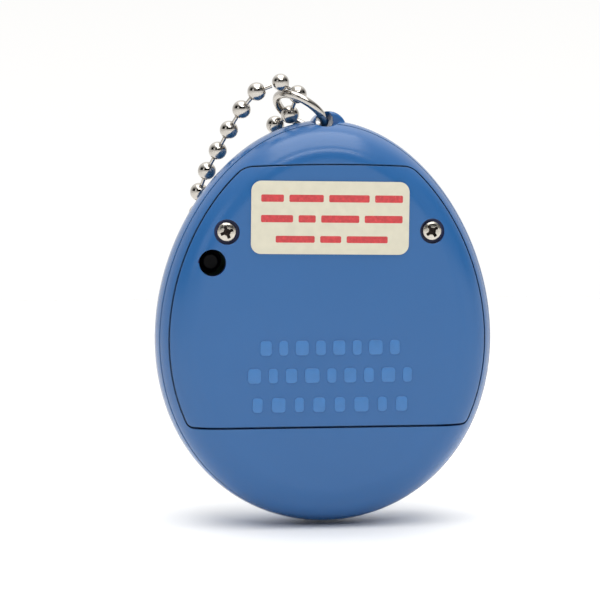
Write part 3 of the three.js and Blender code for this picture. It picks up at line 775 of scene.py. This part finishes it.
def link_rod(name, start, end, radius, n=24):
    """The slightly waisted wire between two balls."""
    axis = (end - start).normalized()
    u = axis.orthogonal().normalized()
    w = axis.cross(u)
    rings = []
    for place, r in ((0, radius), (0.5, radius * 0.93), (1, radius)):
        middle = start.lerp(end, place)
        rings.append([tuple(middle + (u * c + w * s) * r) for c, s in circle(n)])
    return skin(name, rings)


def strand(side):
    """Ball centres from the ball on the ring outwards, as the bend joints give them."""
    count = sum(name.startswith(f"{side}_bend") for name in joints)
    return [joint_point(f"{side}_bend_{i:02d}") for i in range(1, count + 1)]


def build_chain():
    left = strand("left") + [joint_point("connector_swing")]
    right = strand("right")
    lo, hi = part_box(f"chain_right_{len(right):02d}")
    right.append(Vector(((lo[0] + hi[0]) * 500, (lo[1] + hi[1]) * 500, lo[2] * 1000 + 1.2)))
    middle = len(right) - 1
    centres = right[::-1] + left[1:]
    names = [f"right_{i:02d}" for i in range(middle, 0, -1)] + ["bead_00"]
    names += [f"left_{i:02d}" for i in range(1, len(left))]
    for i, (centre, body) in enumerate(zip(centres, names)):
        near = [centres[j] for j in (i - 1, i + 1) if 0 <= j < len(centres)]
        holes = [(other - centre).normalized() for other in near]
        if body == names[-1]:
            holes.append(Vector((1, 0, 0)))
        if body == names[0]:
            holes.append(Vector((-0.9, 0, -0.44)).normalized())
        # The first ball past the ring is a little under size, so it swings clear of the wire.
        tight = body == "left_01"
        ob = ball(f"ball_{body}", holes, TIGHT_BALL_R if tight else BALL_R)
        done(ob, body, NICKEL, [f"chain_{body}"], 60, centre * MM)
        if i == middle:
            continue
        way = centres[i + 1 if i < middle else i - 1] - centre
        pitch = way.length
        way.normalize()
        wire_r = TIGHT_LINK_R if tight else LINK_R
        link = link_rod(f"link_{body}", way * LINK_START, way * (pitch - LINK_STOP), wire_r)
        done(link, body, NICKEL, (), 40, centre * MM)


def tube(name, r, x0, x1):
    return skin(name, [[(x, r * c, r * s) for c, s in circle(72)] for x in (x0, x1)])


def build_connector():
    """The sleeve about the ball that it swings on, with a window in its side and a slit at its mouth."""
    hinge = joint_point("connector_swing")
    lo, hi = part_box("chain_connector")
    x0 = lo[0] * 1000 - hinge.x
    x1 = hi[0] * 1000 - hinge.x
    ob = tube("connector_sleeve", SLEEVE_R, x0, x1)
    cut(ob, tube("tmp", SLEEVE_R - SLEEVE_WALL, x0 - 1, x1 + 1))
    cut(ob, prism("tmp", rounded(3.4, 4.0, 0.45, 8), -0.5, 0.5, -1.0, 2.0))
    slit, slit_half_w = 2.6, 0.28
    cut(ob, brick("tmp", x1 - slit, x1 + 1, -slit_half_w, slit_half_w, 0, 2.5))
    done(ob, "connector", NICKEL, ["chain_connector"], 32, hinge * MM)


# ------------------------------------------------------------------ inner CAD nodes keep their shapes
INNER = {
    "reset_button": BLACK, "chip_blob": BLACK, "circuit_board": BOARD, "sound_disc": BRASS,
    "lcd_panel": LCD, "contact_strip": RUBBER, "button_pad": RUBBER,
    "battery_1": STEEL, "battery_2": STEEL, "housing_screw_1": STEEL, "housing_screw_2": STEEL,
    "housing_screw_3": STEEL, "housing_screw_4": STEEL,
}


def dress(node, mat):
    """Give every solid of a CAD node one material."""
    for slot in bpy.data.objects[node].material_slots:
        slot.material = mat.m


build_rear()
build_front()
build_cover()
raised_marks()
build_label()
build_screw("left", -1, 20)
build_screw("right", 1, 35)
build_buttons()
build_screen()
build_ring()
build_chain()
build_connector()
for node, mat in INNER.items():
    dress(node, mat)

# ------------------------------------------------------------------ floor
FLOOR_HALF = 420
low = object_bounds()[0][2] * 1000
corners = [(x * FLOOR_HALF, y * FLOOR_HALF) for x, y in ((-1, -1), (1, -1), (1, 1), (-1, 1))]
floor = skin("floor", [[(x, y, low - drop) for x, y in corners] for drop in (20, 0.2)])
floor.data.transform(Matrix.Scale(MM, 4))
floor.data.materials.append(FLOOR.m)


# ------------------------------------------------------------------ light, in metres
AIM = Vector((0, 0, -0.026))


def area(name, place, wide, power, tall=None):
    """A rectangular light that faces the middle of the egg."""
    light = bpy.data.lights.new(name, "AREA")
    light.shape = "RECTANGLE"
    light.size = wide
    light.size_y = tall or wide
    light.energy = power
    ob = add_object(name, light)
    ob.location = place
    ob.rotation_euler = (AIM - Vector(place)).to_track_quat("-Z", "Y").to_euler()


area("strip", (0.03, -0.42, 0.34), 0.34, 0.50, 0.07)
area("left", (-0.42, -0.34, 0.20), 0.20, 0.14)
area("right", (0.50, -0.38, 0.15), 0.40, 0.12)
area("top", (0.0, -0.12, 0.60), 0.60, 3.4)

# Studio surround: dim on the side the battery cover faces, bright behind, overhead and at the horizon.
world = bpy.data.worlds.new("studio")
bpy.context.scene.world = world
world.use_nodes = True
world_tree = world.node_tree
background = world_tree.nodes["Background"]
background.inputs["Color"].default_value = (1.0, 0.995, 0.985, 1)
direction = world_tree.nodes.new("ShaderNodeSeparateXYZ")
coordinates = world_tree.nodes.new("ShaderNodeTexCoord")
world_tree.links.new(coordinates.outputs["Generated"], direction.inputs["Vector"])


def world_span(axis, a, b, lo, hi):
    n = world_tree.nodes.new("ShaderNodeMapRange")
    n.interpolation_type = "SMOOTHSTEP"
    for key, v in (("From Min", a), ("From Max", b), ("To Min", lo), ("To Max", hi)):
        n.inputs[key].default_value = v
    world_tree.links.new(direction.outputs[axis], n.inputs["Value"])
    return n.outputs["Result"]


def world_math(kind, a, b):
    n = world_tree.nodes.new("ShaderNodeMath")
    n.operation = kind
    world_tree.links.new(a, n.inputs[0])
    world_tree.links.new(b, n.inputs[1])
    return n.outputs[0]


behind = world_span("Y", -0.1, 0.7, 0.04, 1.02)
horizon = world_span("Z", 0.10, 0.20, 0.98, 0.04)
overhead = world_span("Z", 0.45, 0.95, 0.0, 0.9)
haze = world_span("Z", -0.02, 0.15, 0.0, -0.08)
glow = world_math("ADD", world_math("MAXIMUM", behind, horizon), overhead)
world_tree.links.new(world_math("ADD", glow, haze), background.inputs["Strength"])
bpy.context.scene.view_settings.view_transform = "Standard"

# ------------------------------------------------------------------ camera
AZIMUTH, ELEVATION, DISTANCE = math.radians(-7.0), math.radians(4.0), 300.0
FIELD = 78.4                     # width seen at the egg, mm
EGG_RIGHT, EGG_DOWN = 3.0445, 2.744  # where the egg's centre sits from the view's middle

back = Vector((math.sin(AZIMUTH) * math.cos(ELEVATION),
               -math.cos(AZIMUTH) * math.cos(ELEVATION), math.sin(ELEVATION)))
to_right = Vector((math.cos(AZIMUTH), math.sin(AZIMUTH), 0))
to_top = back.cross(to_right)
target = -EYE - to_right * EGG_RIGHT + to_top * EGG_DOWN
camera_data = bpy.data.cameras.new("camera")
camera_data.sensor_width = 36
camera_data.lens = camera_data.sensor_width * DISTANCE / FIELD
camera_data.clip_start = 0.01
camera_data.clip_end = 10
camera = add_object("camera", camera_data)
camera.location = (target + back * DISTANCE) * MM
camera.rotation_euler = back.to_track_quat("Z", "Y").to_euler()
bpy.context.scene.camera = camera
